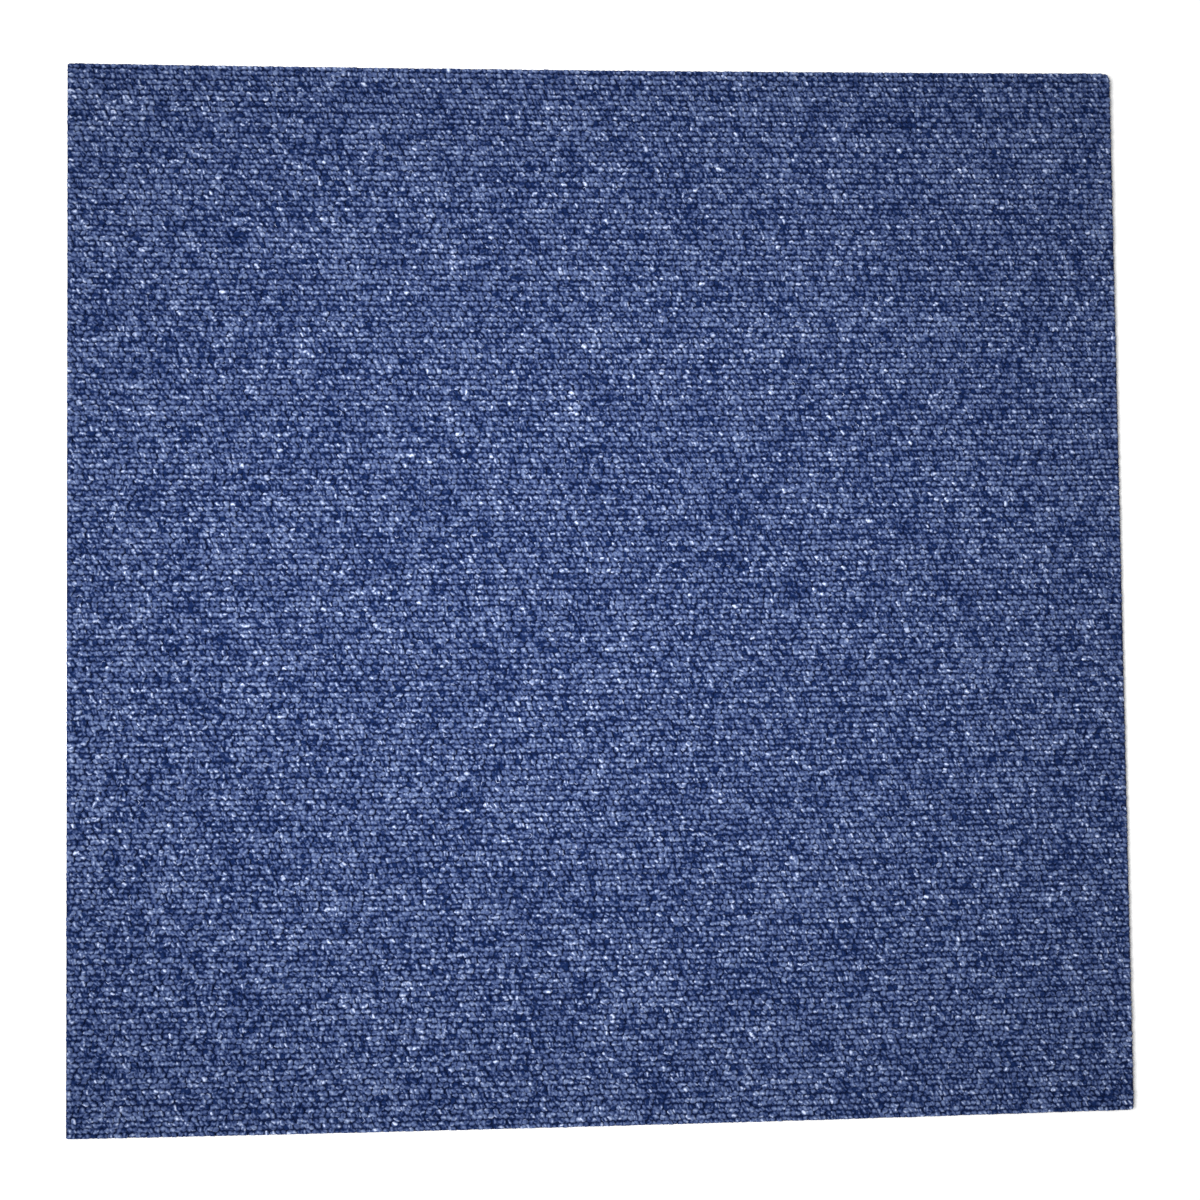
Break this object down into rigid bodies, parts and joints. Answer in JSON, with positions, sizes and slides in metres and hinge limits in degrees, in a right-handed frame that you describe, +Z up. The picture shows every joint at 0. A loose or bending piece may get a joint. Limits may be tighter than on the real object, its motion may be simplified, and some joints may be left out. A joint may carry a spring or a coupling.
{
  "type": "carpet tile",
  "caption": "Square blue loop-pile carpet tile: rows of low tufted loops on a heavy flexible backing, laid edge to edge as a floor covering.",
  "frame": {"origin": "middle of the underside, on the floor plane", "axes": "+Z up out of the pile, +X along the rows of loops, +Y across the rows"},
  "size_m": [0.5, 0.5, 0.0062],
  "materials": {
    "pile": "blue heather loop pile, matt with a slight sheen",
    "backing": "matt dark filled bitumen with a cut edge"
  },
  "bodies": {
    "root": {"loop_pile_face": "pile", "backing": "backing"}
  },
  "joints": []
}
